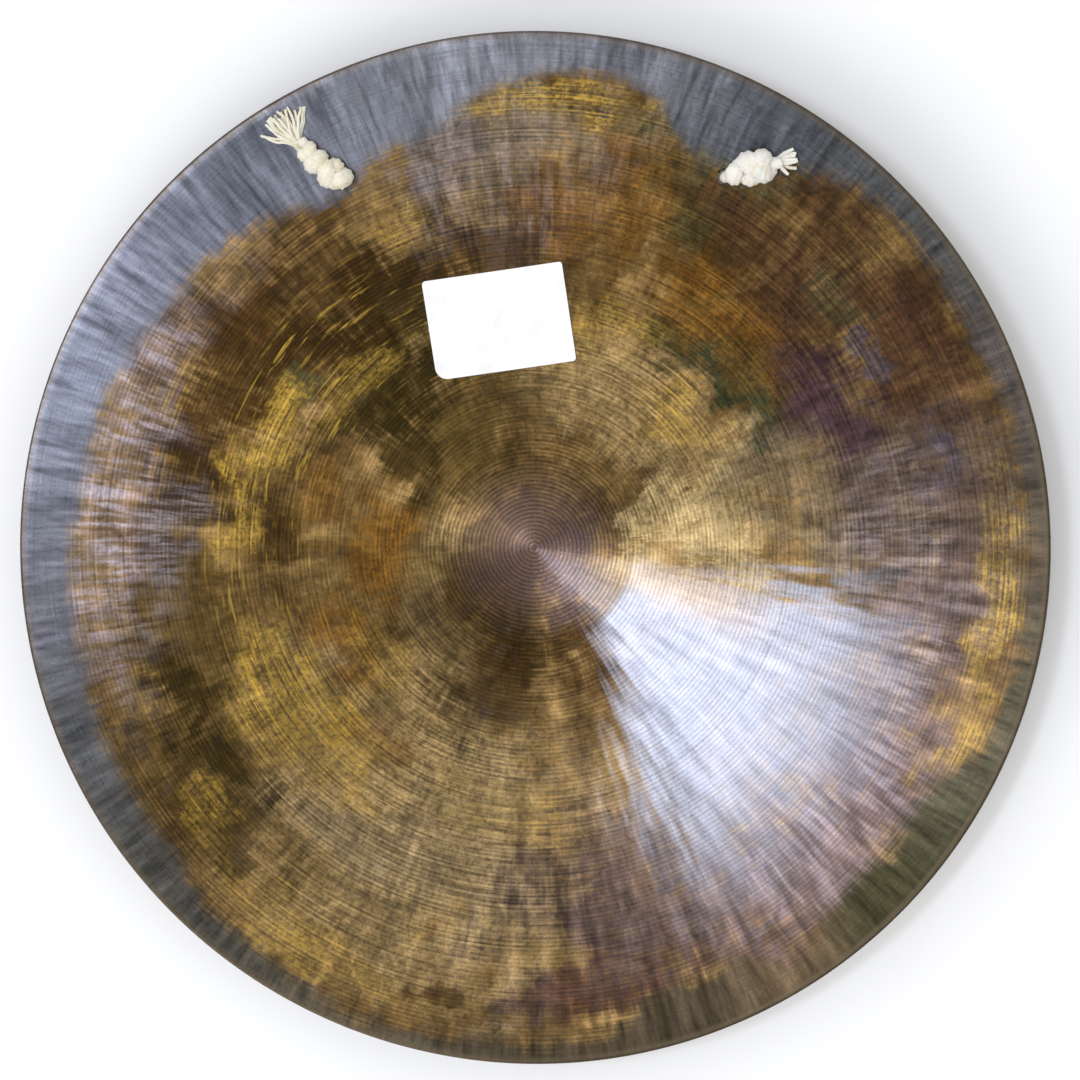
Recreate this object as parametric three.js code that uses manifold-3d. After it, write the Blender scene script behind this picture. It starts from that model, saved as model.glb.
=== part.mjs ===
// A dished bronze gong with a cotton hanging cord and a blank paper label.
// Millimetres, +Z up out of the hollow side. The origin is the middle of the flat underside,
// which the gong rests on. +Y points from there to the edge that hangs uppermost.

import * as THREE from 'three';
import { mergeVertices } from 'three/addons/utils/BufferGeometryUtils.js';
import Module from 'manifold-3d';

const wasm = await Module();
wasm.setup();

// Gong plate
const RIM_RADIUS = 180;
const FLAT_RADIUS = 8; // the level middle that the gong rests on
const DISH_DEPTH = 27; // how far the rim stands above the underside's middle
const DISH_POWER = 1.25; // 1 would be a straight cone
const PLATE_THICKNESS = 1.5;
const EDGE_ROLL = 4; // width of the rim band that levels out
const PLATE_SIDES = 72;
const PLATE_RINGS = 12;

// Cord holes and cord
const HOLE_X = 68;
const HOLE_Y = 129.5;
const HOLE_RADIUS = 2.6;
const CORD_RADIUS = 1.9;
const CORD_SIDES = 8;
const CORD_STEP = 9.5; // two and a half diameters
const HINGE_Z = 15.2; // the cord bends here, just under the plate
const GAP = 0.3; // between pieces that touch

// Paper label
const LABEL_WIDTH = 50;
const LABEL_HEIGHT = 35;
const LABEL_THICKNESS = 0.3;
const LABEL_PLACE = { x: -11.7, y: 80.4, turn: 8 };

const bronze = new THREE.MeshStandardMaterial({ color: 0x7a6444, roughness: 0.35, metalness: 1 });
const cotton = new THREE.MeshStandardMaterial({ color: 0xe6dcc4, roughness: 0.95, metalness: 0 });
const paper = new THREE.MeshStandardMaterial({ color: 0xf2f2ef, roughness: 0.8, metalness: 0 });

const rad = THREE.MathUtils.degToRad;

// Height of the plate's underside at a distance from the axis.
function underside(radius) {
  const roll = RIM_RADIUS - EDGE_ROLL;
  const share = Math.max(0, Math.min(radius, roll) - FLAT_RADIUS) / (roll - FLAT_RADIUS);
  const slope = (DISH_POWER * DISH_DEPTH) / (roll - FLAT_RADIUS);
  const past = Math.max(0, radius - roll);
  return DISH_DEPTH * share ** DISH_POWER + slope * (past - past ** 2 / (2 * EDGE_ROLL));
}

// Height of the plate's hollow side above a point.
function hollowSide(x, y) {
  return underside(Math.hypot(x, y)) + PLATE_THICKNESS;
}

function asSolid(geometry) {
  const bare = geometry.clone();
  bare.deleteAttribute('normal');
  bare.deleteAttribute('uv');
  const merged = mergeVertices(bare);
  return new wasm.Manifold(new wasm.Mesh({
    numProp: 3,
    vertProperties: merged.attributes.position.array,
    triVerts: Uint32Array.from(merged.index.array),
  }));
}

function asGeometry(solid) {
  const mesh = solid.getMesh();
  const geometry = new THREE.BufferGeometry();
  geometry.setAttribute('position', new THREE.BufferAttribute(mesh.vertProperties, 3));
  geometry.setIndex(new THREE.BufferAttribute(mesh.triVerts, 1));
  geometry.computeVertexNormals();
  return geometry;
}

function named(name, geometry, material) {
  const mesh = new THREE.Mesh(geometry, material);
  mesh.name = name;
  return mesh;
}

// The plate is turned from one closed profile, then drilled for the cord.
function gongPlate() {
  const edge = PLATE_THICKNESS / 2;
  const inner = RIM_RADIUS - edge;
  const step = (inner - FLAT_RADIUS) / PLATE_RINGS;
  const radii = Array.from({ length: PLATE_RINGS + 1 }, (_, i) => FLAT_RADIUS + i * step);
  const below = radii.map((r) => new THREE.Vector2(r, underside(r)));
  const above = radii.map((r) => new THREE.Vector2(r, underside(r) + PLATE_THICKNESS)).reverse();
  const profile = [
    new THREE.Vector2(0, 0),
    ...below,
    new THREE.Vector2(RIM_RADIUS, underside(RIM_RADIUS) + edge),
    ...above,
    new THREE.Vector2(0, PLATE_THICKNESS),
  ];
  const disc = new THREE.LatheGeometry(profile, PLATE_SIDES).rotateX(Math.PI / 2);
  const drill = (x) => asSolid(new THREE.CylinderGeometry(HOLE_RADIUS, HOLE_RADIUS, DISH_DEPTH, 24)
    .rotateX(Math.PI / 2).translate(x, HOLE_Y, underside(Math.hypot(x, HOLE_Y))));
  return asGeometry(asSolid(disc).subtract(drill(-HOLE_X)).subtract(drill(HOLE_X)));
}

// A thin sheet that follows the hollow side.
function paperLabel() {
  const sheet = new THREE.BoxGeometry(LABEL_WIDTH, LABEL_HEIGHT, LABEL_THICKNESS, 10, 7, 1)
    .rotateZ(rad(LABEL_PLACE.turn)).translate(LABEL_PLACE.x, LABEL_PLACE.y, LABEL_THICKNESS / 2 + GAP);
  const points = sheet.attributes.position;
  for (let i = 0; i < points.count; i += 1) {
    points.setZ(i, points.getZ(i) + hollowSide(points.getX(i), points.getY(i)));
  }
  return sheet;
}

// Lays a piece modelled along +X on the hollow side: it starts over (x, y), heads that way in degrees,
// and its axis keeps a height above the plate along the whole of its length.
function layOnPlate(geometry, { x, y, heading, length, height }) {
  const run = new THREE.Vector2(Math.cos(rad(heading)), Math.sin(rad(heading)));
  const startZ = hollowSide(x, y);
  const pitch = Math.atan2(hollowSide(x + run.x * length, y + run.y * length) - startZ, length);
  return geometry.rotateY(-pitch).rotateZ(rad(heading)).translate(x, y, startZ + height);
}

// A row of round bulges along +X, from [place, radius] pairs.
function knotRow(bulges, flatness) {
  const arc = [];
  bulges.forEach(([place, radius], i) => {
    const waist = (other) => Math.min(1, Math.abs(other[0] - place) / 2 / radius);
    const start = i === 0 ? Math.PI : Math.acos(-waist(bulges[i - 1]));
    const end = i === bulges.length - 1 ? 0 : Math.acos(waist(bulges[i + 1]));
    for (let k = 0; k <= 4; k += 1) {
      const angle = start + ((end - start) * k) / 4;
      const onAxis = (i === 0 && k === 0) || (i === bulges.length - 1 && k === 4);
      const off = onAxis ? 0 : radius * Math.sin(angle);
      arc.push(new THREE.Vector2(off, place + radius * Math.cos(angle)));
    }
  });
  return new THREE.LatheGeometry(arc, 14).rotateZ(-Math.PI / 2).scale(1, 1, flatness);
}

// A flat fan of loose yarns along +X.
function tassel(length, halfAngle, neck, thickness) {
  const fan = new THREE.Shape();
  fan.moveTo(0, -neck);
  fan.absarc(0, 0, length, rad(-halfAngle), rad(halfAngle));
  fan.lineTo(0, neck);
  fan.closePath();
  return new THREE.ExtrudeGeometry(fan, { depth: thickness, bevelEnabled: false, curveSegments: 8 })
    .translate(0, 0, -thickness / 2);
}

// The short length through a hole, from under the knot to just above the hinge axis.
function cordThroughHole(x) {
  const bottom = HINGE_Z + CORD_RADIUS + GAP;
  const top = hollowSide(x, HOLE_Y) + GAP;
  return new THREE.CylinderGeometry(CORD_RADIUS, CORD_RADIUS, top - bottom, 12)
    .rotateX(Math.PI / 2).translate(x, HOLE_Y, (top + bottom) / 2);
}

// The loop between the holes. It comes down to the surface that the gong rests on and lies there,
// folded in under the dish where the underside is high enough to clear it.
const LOOP_ROUTE = [
  [-68.0, 129.5, HINGE_Z], [-69.2, 126.0, 12.4], [-71.4, 121.4, 8.8], [-74.6, 116.0, 5.2],
  [-78.3, 109.6, 2.7], [-82.0, 102.0, 2.0], [-84.8, 92.6, 2.0], [-84.6, 82.4, 2.0],
  [-80.2, 73.0, 2.0], [-71.6, 65.8, 2.0], [-60.6, 61.0, 2.0], [-48.0, 58.4, 2.0],
  [-34.6, 58.2, 2.0], [-20.8, 60.6, 2.0], [-7.4, 63.4, 2.0], [6.6, 63.8, 2.0],
  [20.4, 61.4, 2.0], [34.0, 59.0, 2.0], [47.8, 59.2, 2.0], [60.8, 62.4, 2.0],
  [72.0, 68.0, 2.0], [80.2, 76.0, 2.0], [84.0, 86.0, 2.0], [83.6, 96.4, 2.0],
  [80.8, 105.6, 2.2], [77.4, 112.6, 3.8], [73.8, 118.8, 7.0], [70.6, 124.4, 11.2],
  [68.0, 129.5, HINGE_Z],
];

function hangingLoop() {
  const path = new THREE.CatmullRomCurve3(LOOP_ROUTE.map((point) => new THREE.Vector3(...point)));
  const section = new THREE.Shape();
  for (let i = 0; i < CORD_SIDES; i += 1) {
    const angle = (2 * Math.PI * (i + 0.5)) / CORD_SIDES;
    section[i ? 'lineTo' : 'moveTo'](CORD_RADIUS * Math.cos(angle), CORD_RADIUS * Math.sin(angle));
  }
  section.closePath();
  const steps = Math.round(path.getLength() / CORD_STEP);
  return new THREE.ExtrudeGeometry(section, { steps, extrudePath: path, bevelEnabled: false });
}

const LEFT_KNOT = { x: -66.0, y: 128.7, heading: 138, length: 19, height: 4.6 + GAP };
const LEFT_TASSEL = { x: -81.0, y: 142.2, heading: 126, length: 14, height: 2.6 };
const RIGHT_KNOT = { x: 71.3, y: 131.4, heading: 8, length: 14, height: 4.6 + GAP };
const RIGHT_TASSEL = { x: 88.0, y: 134.0, heading: 12, length: 7.5, height: 2.4 };

function cordEnds() {
  const group = new THREE.Group();
  const leftRow = knotRow([[0, 4.4], [5.5, 5.0], [10.8, 4.4], [15.6, 3.6]], 0.9);
  const rightRow = knotRow([[0, 4.6], [6.0, 6.0], [11.0, 5.0]], 0.75);
  group.add(named('left_knot', layOnPlate(leftRow, LEFT_KNOT), cotton));
  group.add(named('right_knot', layOnPlate(rightRow, RIGHT_KNOT), cotton));
  group.add(named('left_tassel', layOnPlate(tassel(14, 33, 1.8, 3.2), LEFT_TASSEL), cotton));
  group.add(named('right_tassel', layOnPlate(tassel(7.5, 35, 1.5, 2.4), RIGHT_TASSEL), cotton));
  group.add(named('left_cord_end', cordThroughHole(-HOLE_X), cotton));
  group.add(named('right_cord_end', cordThroughHole(HOLE_X), cotton));
  return group;
}

const group = new THREE.Group();
group.add(named('gong_plate', gongPlate(), bronze));
group.add(named('paper_label', paperLabel(), paper));
group.add(cordEnds());
group.add(named('hanging_cord', hangingLoop(), cotton));

export default group;
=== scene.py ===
# A dished bronze gong, 360 mm across, lying hollow side up on a pale table, with its cotton hanging
# cord and a blank paper label. Shapes are worked out in millimetres and built in metres.

import math

import bpy
import numpy as np
from mathutils import Matrix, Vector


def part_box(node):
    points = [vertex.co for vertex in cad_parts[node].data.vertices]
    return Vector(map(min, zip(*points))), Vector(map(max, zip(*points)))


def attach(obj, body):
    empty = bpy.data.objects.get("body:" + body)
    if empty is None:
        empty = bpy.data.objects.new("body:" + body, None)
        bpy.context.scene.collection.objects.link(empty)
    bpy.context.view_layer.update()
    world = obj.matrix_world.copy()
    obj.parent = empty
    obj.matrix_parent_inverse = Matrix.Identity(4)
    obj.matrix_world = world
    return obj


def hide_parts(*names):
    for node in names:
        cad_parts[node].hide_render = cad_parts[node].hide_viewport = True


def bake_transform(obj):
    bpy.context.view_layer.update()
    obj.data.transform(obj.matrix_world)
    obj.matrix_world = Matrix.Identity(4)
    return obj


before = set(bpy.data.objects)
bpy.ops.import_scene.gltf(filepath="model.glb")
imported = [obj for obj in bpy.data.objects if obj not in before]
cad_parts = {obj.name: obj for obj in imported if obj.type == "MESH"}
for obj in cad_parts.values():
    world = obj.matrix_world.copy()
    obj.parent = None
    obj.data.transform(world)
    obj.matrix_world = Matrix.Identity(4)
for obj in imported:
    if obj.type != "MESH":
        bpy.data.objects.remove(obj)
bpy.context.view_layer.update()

MM = 0.001
TURN = 2 * math.pi

# ---- The dish, as the CAD plate has it -----------------------------------------------------------

RIM_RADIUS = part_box("gong_plate")[1][0] / MM
FLAT_RADIUS = 8.0  # the level middle that the gong rests on
DISH_DEPTH = 27.0
DISH_POWER = 1.25  # 1 would be a straight cone
THICKNESS = 1.5
EDGE_ROLL = 4.0  # width of the rim band that levels out
GROOVE_PITCH = 1.45  # from one turned ring to the next
HOLE_X, HOLE_Y, HOLE_RADIUS = 68.0, 129.5, 2.6
CREASE_ANGLE = 50  # degrees. Edges sharper than this aren't shaded smooth.


def underside(radius):
    """Height of the plate's underside at a distance from the axis."""
    radius = np.asarray(radius, float)
    roll = RIM_RADIUS - EDGE_ROLL
    share = np.clip(np.minimum(radius, roll) - FLAT_RADIUS, 0, None) / (roll - FLAT_RADIUS)
    slope = DISH_POWER * DISH_DEPTH / (roll - FLAT_RADIUS)
    past = np.clip(radius - roll, 0, None)
    return DISH_DEPTH * share**DISH_POWER + slope * (past - past**2 / (2 * EDGE_ROLL))


def hollow_side(x, y):
    """Height of the plate's hollow side above a point."""
    return underside(np.hypot(x, y)) + THICKNESS


# ---- Noise, curves and meshes --------------------------------------------------------------------


def smoothstep(low, high, value):
    """Rises smoothly from 0 at `low` to 1 at `high`."""
    t = np.clip((value - low) / (high - low), 0, 1)
    return t * t * (3 - 2 * t)


NOISE_ROWS = 64  # cells of the noise lattice along v


def cell_noise(u, v, period, seed):
    """Smooth noise from -1 to 1 on a lattice that repeats every `period` cells along u."""
    u, v = np.broadcast_arrays(np.asarray(u, float), np.asarray(v, float))
    grid = np.random.default_rng(seed).uniform(-1, 1, (period, NOISE_ROWS))
    column, row = np.floor(u).astype(int), np.floor(v).astype(int)
    fu, fv = u - column, v - row
    fu, fv = fu * fu * (3 - 2 * fu), fv * fv * (3 - 2 * fv)
    left, right = column % period, (column + 1) % period
    low = grid[left, row] * (1 - fu) + grid[right, row] * fu
    high = grid[left, row + 1] * (1 - fu) + grid[right, row + 1] * fu
    return low * (1 - fv) + high * fv


def smooth_path(points, spacing):
    """A Catmull-Rom curve through the points, with about `spacing` mm between its own points."""
    points = np.asarray(points, float)
    ends = np.vstack([2 * points[0] - points[1], points, 2 * points[-1] - points[-2]])
    curve = []
    for p0, p1, p2, p3 in zip(ends, ends[1:], ends[2:], ends[3:]):
        steps = max(1, round(np.linalg.norm(p2 - p1) / spacing))
        t = (np.arange(steps) / steps)[:, None]
        bend = (2 * p0 - 5 * p1 + 4 * p2 - p3) * t**2 + (3 * p1 - p0 - 3 * p2 + p3) * t**3
        curve.append(0.5 * (2 * p1 + (p2 - p0) * t + bend))
    return np.vstack(curve + [points[-1:]])


def carried_frames(path):
    """Two directions across a path at each of its points, carried along it without twisting."""
    tangents = np.gradient(path, axis=0)
    tangents /= np.linalg.norm(tangents, axis=1)[:, None]
    across = np.cross(tangents[0], [0.0, 0.0, 1.0])
    if np.linalg.norm(across) < 0.1:
        across = np.cross(tangents[0], [1.0, 0.0, 0.0])
    firsts = []
    for tangent in tangents:
        across = across - tangent * (across @ tangent)
        across /= np.linalg.norm(across)
        firsts.append(across)
    firsts = np.array(firsts)
    return firsts, np.cross(tangents, firsts)


def rope(path, radius, sides, strands, groove, lay, phase=0.0):
    """A closed tube along a path, with strands twisted once round in every `lay` mm."""
    count = len(path)
    radius = np.broadcast_to(radius, count)
    firsts, seconds = carried_frames(path)
    along = np.concatenate([[0], np.cumsum(np.linalg.norm(np.diff(path, axis=0), axis=1))])
    angle = np.arange(sides) * TURN / sides
    turned = strands * (angle[None] - TURN * along[:, None] / lay) / 2 + phase
    size = radius[:, None] * (1 - groove * (1 - np.abs(np.cos(turned))))
    cos, sin = np.cos(angle)[None] * size, np.sin(angle)[None] * size
    rings = path[:, None] + cos[..., None] * firsts[:, None] + sin[..., None] * seconds[:, None]
    points = np.vstack([rings.reshape(-1, 3), path[:1], path[-1:]])
    around = np.arange(sides)
    after = (around + 1) % sides
    start = (np.arange(count - 1) * sides)[:, None]
    quads = np.stack([start + around, start + after, start + sides + after, start + sides + around], -1)
    last = (count - 1) * sides
    near = np.stack([np.full(sides, count * sides), after, around], -1)
    far = np.stack([np.full(sides, count * sides + 1), last + around, last + after], -1)
    return points, [quads.reshape(-1, 4), near, far]


def new_piece(name, parts, material, sharp=None):
    """One mesh object made from (points, faces) parts in millimetres."""
    points, faces, offset = [], [], 0
    for part_points, part_faces in parts:
        points.append(part_points)
        faces += [f + offset for f in part_faces]
        offset += len(part_points)
    points = np.vstack(points) * MM
    corners = np.concatenate([f.ravel() for f in faces])
    sizes = np.concatenate([np.full(len(f), f.shape[1]) for f in faces])
    mesh = bpy.data.meshes.new(name)
    mesh.vertices.add(len(points))
    mesh.vertices.foreach_set("co", points.astype(np.float32).ravel())
    mesh.loops.add(len(corners))
    mesh.loops.foreach_set("vertex_index", corners.astype(np.int32))
    mesh.polygons.add(len(sizes))
    mesh.polygons.foreach_set("loop_start", (np.cumsum(sizes) - sizes).astype(np.int32))
    mesh.update(calc_edges=True)
    mesh.polygons.foreach_set("use_smooth", np.ones(len(sizes), bool))
    if sharp:
        mesh.set_sharp_from_angle(angle=math.radians(sharp))
    piece = bpy.data.objects.new(name, mesh)
    bpy.context.scene.collection.objects.link(piece)
    mesh.materials.append(material)
    return piece


# ---- Node materials ------------------------------------------------------------------------------


NOISE_RANGE = (0.3, 0.7)  # where most of a noise texture's values lie


def colour(code):
    """A hex colour as the linear values that a shader takes."""
    values = [int(code[i:i + 2], 16) / 255 for i in (1, 3, 5)]
    return [v / 12.92 if v <= 0.04045 else ((v + 0.055) / 1.055) ** 2.4 for v in values] + [1.0]


class Finish:
    """A node material, with short calls for the nodes that the finishes use."""

    def __init__(self, name):
        self.material = bpy.data.materials.new(name)
        self.material.use_nodes = True
        self.tree = self.material.node_tree
        self.shader = self.tree.nodes["Principled BSDF"]
        coordinates = self.add("ShaderNodeTexCoord").outputs
        self.place, self.normal = coordinates["Object"], coordinates["Normal"]

    def put(self, socket, value):
        if isinstance(value, bpy.types.NodeSocket):
            self.tree.links.new(value, socket)
        else:
            socket.default_value = value

    def add(self, kind, inputs=None, **settings):
        node = self.tree.nodes.new(kind)
        for key, value in settings.items():
            setattr(node, key, value)
        for key, value in (inputs or {}).items():
            self.put(node.inputs[key], value)
        return node

    def math(self, operation, a, b=0.0, c=0.0):
        return self.add("ShaderNodeMath", {0: a, 1: b, 2: c}, operation=operation).outputs[0]

    def product(self, first, *others):
        for other in others:
            first = self.math("MULTIPLY", first, other)
        return first

    def vector(self, x=0.0, y=0.0, z=0.0):
        return self.add("ShaderNodeCombineXYZ", {0: x, 1: y, 2: z}).outputs[0]

    def noise(self, place, scale=1.0, detail=3.0, roughness=0.5, distortion=0.0):
        inputs = {"Vector": place, "Scale": scale, "Detail": detail, "Roughness": roughness,
                  "Distortion": distortion}
        return self.add("ShaderNodeTexNoise", inputs).outputs[0]

    def span(self, value, low, high, to_low=0.0, to_high=1.0, smooth=True):
        kind = "SMOOTHSTEP" if smooth else "LINEAR"
        inputs = {0: value, 1: low, 2: high, 3: to_low, 4: to_high}
        return self.add("ShaderNodeMapRange", inputs, interpolation_type=kind).outputs[0]

    def spread(self, noise, to_low, to_high):
        """Stretches a noise's usual range over other values."""
        return self.span(noise, *NOISE_RANGE, to_low, to_high, smooth=False)

    def mix(self, factor, a, b, blend="MIX"):
        node = self.add("ShaderNodeMix", data_type="RGBA", blend_type=blend)
        for socket, value in ((node.inputs[0], factor), (node.inputs[6], a), (node.inputs[7], b)):
            self.put(socket, value)
        return node.outputs[2]

    def shaded(self, base, shade):
        """A colour made lighter or darker by a factor."""
        return self.mix(1.0, base, self.vector(shade, shade, shade), "MULTIPLY")

    def ramp(self, value, stops):
        node = self.add("ShaderNodeValToRGB", {0: value})
        elements = node.color_ramp.elements
        node.color_ramp.interpolation = "EASE"
        while len(elements) < len(stops):
            elements.new(1.0)
        for element, (position, shade) in zip(elements, stops):
            element.position = position
            element.color = shade
        return node.outputs[0]

    def bump(self, height, distance, strength, normal=None):
        inputs = {"Height": height, "Distance": distance, "Strength": strength}
        if normal is not None:
            inputs["Normal"] = normal
        return self.add("ShaderNodeBump", inputs).outputs[0]

    def surface(self, **sockets):
        for name, value in sockets.items():
            self.put(self.shader.inputs[name.replace("_", " ")], value)
        return self.material


# ---- Bronze: patina laid out in polar coordinates ------------------------------------------------

# Where the untouched dark band at the rim begins, as (angle in degrees, radius in mm).
BAND_EDGE = [
    (0, 174), (15, 173), (30, 171), (45, 171), (53, 166), (60, 149), (68, 151), (76, 166), (86, 168),
    (94, 163), (105, 150), (120, 143), (130, 149), (142, 154), (154, 158), (166, 160), (182, 162),
    (200, 165), (216, 166), (232, 170), (250, 175), (266, 174), (278, 172), (286, 161), (297, 160),
    (303, 173), (311, 163), (328, 162), (337, 172), (350, 174), (360, 174),
]

# Its colour round the rim, as (angle, colour). The paler blue-grey from about 75 to 175 degrees is partly
# oxide and partly a painted reflection of the light.
BAND_COLOURS = [
    (0, "#5a5041"), (20, "#57504a"), (40, "#525250"), (60, "#575a5e"), (76, "#74757b"), (95, "#83848a"),
    (112, "#6c6e74"), (130, "#5f6168"), (148, "#74767f"), (160, "#767983"), (172, "#73757d"),
    (188, "#69686e"), (203, "#5c5c5c"), (222, "#54524b"), (250, "#605849"), (270, "#453b2a"),
    (290, "#3f3526"), (302, "#564732"), (315, "#312e1b"), (340, "#4a4534"), (360, "#5a5041"),
]

# Tones of the scraped bronze inside the band, and one of painted highlight, as (colour, softness, streaks,
# patches). The streaks are how far the turning breaks a tone up, or the ripples do where that is negative.
# A patch is (radius, angle, half its depth in mm, half its width in degrees, strength). Later tones lie
# over earlier ones.
TONES = [
    ("#ab8f5f", 0.8, 0.3, [  # tan
        (110, 252, 48, 34, 1.0), (66, 55, 22, 36, 0.8), (148, 244, 20, 20, 0.8), (80, 222, 22, 16, 0.7),
        (60, 236, 14, 20, 0.8), (98, 285, 20, 14, 0.5), (110, 238, 40, 14, 1.0), (100, 210, 20, 11, 0.8),
        (42, 215, 12, 26, 0.7), (30, 172, 10, 20, 0.6), (154, 176, 10, 16, 0.8), (130, 98, 30, 12, 0.15),
        (72, 12, 14, 24, 0.9),
    ]),
    ("#7f6f55", 0.7, 0.2, [  # grey tan
        (148, 97, 18, 12, 0.8), (112, 8, 26, 16, 0.7), (150, 2, 22, 14, 0.5), (110, 262, 26, 20, 0.45),
        (150, 68, 12, 9, 0.8), (90, 18, 14, 8, 0.6), (120, 240, 14, 14, 0.6),
    ]),
    ("#54421f", 0.8, 0.3, [  # olive brown
        (45, 130, 26, 34, 0.9), (128, 190, 22, 22, 0.8), (140, 212, 20, 12, 0.9), (60, 185, 36, 26, 0.5),
        (120, 55, 30, 22, 0.55), (88, 178, 16, 10, 0.7), (30, 215, 22, 40, 0.6), (140, 320, 14, 26, 0.5),
    ]),
    ("#2c230a", 0.6, 0.25, [  # dark olive
        (82, 130, 22, 18, 1.0), (98, 118, 24, 14, 0.9), (136, 200, 8, 10, 0.8), (144, 226, 12, 6, 0.6),
        (90, 55, 7, 12, 0.5), (55, 145, 12, 12, 0.7), (122, 206, 8, 5, 0.5), (128, 176, 10, 8, 0.7),
        (132, 214, 5, 6, 0.8), (42, 260, 16, 16, 0.5), (104, 147, 14, 14, 0.5),
    ]),
    ("#39250c", 0.8, 0.35, [  # dark brown
        (122, 150, 22, 22, 1.0), (108, 102, 10, 12, 0.9), (90, 178, 9, 7, 0.7), (118, 128, 14, 12, 0.8),
        (140, 122, 8, 6, 0.5), (48, 255, 20, 18, 0.7), (12, 245, 22, 60, 0.7), (6, 300, 15, 70, 1.0),
        (30, 298, 22, 24, 1.0), (157, 88, 4, 3, 1.0), (160, 257, 4, 4, 0.9), (112, 60, 10, 8, 0.5),
        (110, 135, 18, 18, 0.7), (28, 290, 10, 30, 0.5),
    ]),
    ("#523625", 1.1, 0.2, [  # red brown
        (150, 30, 18, 12, 0.9), (132, 44, 18, 12, 0.8), (156, 280, 12, 9, 1.0), (140, 285, 16, 8, 0.5),
        (160, 50, 10, 8, 0.5), (138, 60, 8, 6, 0.5), (140, 16, 12, 7, 0.5),
    ]),
    ("#48323b", 1.2, 0.1, [  # purple
        (116, 26, 13, 9, 0.9), (118, 10, 9, 7, 0.45), (108, 30, 5, 5, 0.3),
    ]),
    ("#56453d", 1.4, 0.15, [  # mauve brown
        (145, 318, 28, 34, 1.0), (138, 352, 20, 14, 0.8), (120, 284, 34, 16, 1.0),
        (128, 300, 16, 12, 0.7), (152, 340, 12, 14, 0.9), (150, 4, 14, 12, 0.9),
    ]),
    ("#55505a", 0.9, 0.2, [  # slate
        (136, 31, 6, 3, 0.6), (148, 12, 5, 3, 0.5), (160, 80, 5, 3, 0.7), (16, 320, 14, 50, 0.35),
        (143, 104, 10, 5, 0.4),
    ]),
    ("#45462c", 0.6, 0.0, [  # dark green
        (93, 45, 8, 16, 1.0), (88, 60, 6, 8, 0.8), (148, 66, 12, 7, 0.6), (138, 38, 8, 4, 0.5),
        (100, 146, 5, 4, 0.5), (122, 62, 7, 5, 0.4),
    ]),
    ("#8a5c1c", 0.9, 0.5, [  # orange
        (56, 176, 9, 16, 0.7), (74, 207, 9, 9, 0.7), (125, 75, 18, 8, 0.5), (100, 38, 7, 4, 0.4),
        (152, 176, 12, 16, 0.35), (140, 255, 6, 3, 0.4), (88, 232, 8, 7, 0.5), (118, 84, 14, 6, 0.6),
        (104, 54, 14, 14, 0.6), (140, 74, 10, 7, 0.5), (76, 168, 9, 8, 0.4), (60, 190, 8, 8, 0.6),
    ]),
    ("#ac8a3a", 0.8, 0.8, [  # gold
        (103, 208, 12, 12, 1.0), (108, 172, 6, 10, 0.8), (100, 157, 7, 10, 0.8), (86, 135, 6, 13, 0.4),
        (159, 86, 8, 11, 1.0), (70, 43, 10, 13, 0.75), (148, 218, 7, 4, 0.7), (162, 242, 6, 11, 0.6),
        (126, 112, 9, 5, 0.5), (98, 270, 12, 14, 0.4), (163, 349, 6, 14, 0.6), (154, 230, 6, 9, 0.5),
        (92, 222, 9, 9, 1.0), (68, 215, 8, 14, 0.5), (102, 230, 10, 8, 0.7), (110, 210, 10, 7, 0.6),
        (84, 70, 8, 12, 0.5),
    ]),
    ("#b39a68", 0.5, 0.4, [  # pale gold
        (48, 14, 15, 13, 1.0), (38, 350, 14, 16, 0.7), (62, 2, 12, 11, 1.0), (75, 20, 8, 9, 0.6),
        (75, 350, 12, 8, 0.8),
    ]),
    # Lavender: painted highlights on the ridges of the ripples, where they mirror the light.
    ("#9d9297", 1.6, -0.8, [  # lavender, on the ridges of the ripples
        (153, 180, 13, 17, 0.9), (148, 146, 8, 12, 0.2), (149, 165, 12, 14, 0.9), (132, 178, 12, 10, 0.5),
        (140, 322, 20, 24, 0.25), (140, 344, 16, 12, 0.25), (128, 4, 16, 8, 0.3), (132, 95, 22, 14, 0.3),
    ]),
]

RAMP_REACH = 200  # mm. A ramp holds values up to 1, so it holds radii as parts of this.

# The bronze under the tones, from its darkest clouds to its lightest.
GROUND = [(0.32, "#33270f"), (0.44, "#5a4425"), (0.55, "#735a34"), (0.68, "#957748")]

# The fan of greyer metal, partly a painted highlight: where it fades in and out, in parts of a turn and in
# mm.
FAN_LOWER_EDGE = (0.792, 0.842)
FAN_UPPER_EDGE = (0.992, 0.962)
FAN_OUTER_EDGE = (154, 88)
FAN_INNER_EDGE = (33, 38)

# The edges of the patches wander in lobes, by this part of a turn and by this many mm.
LOBE_TURN = 0.08
LOBE_REACH = 36


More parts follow.
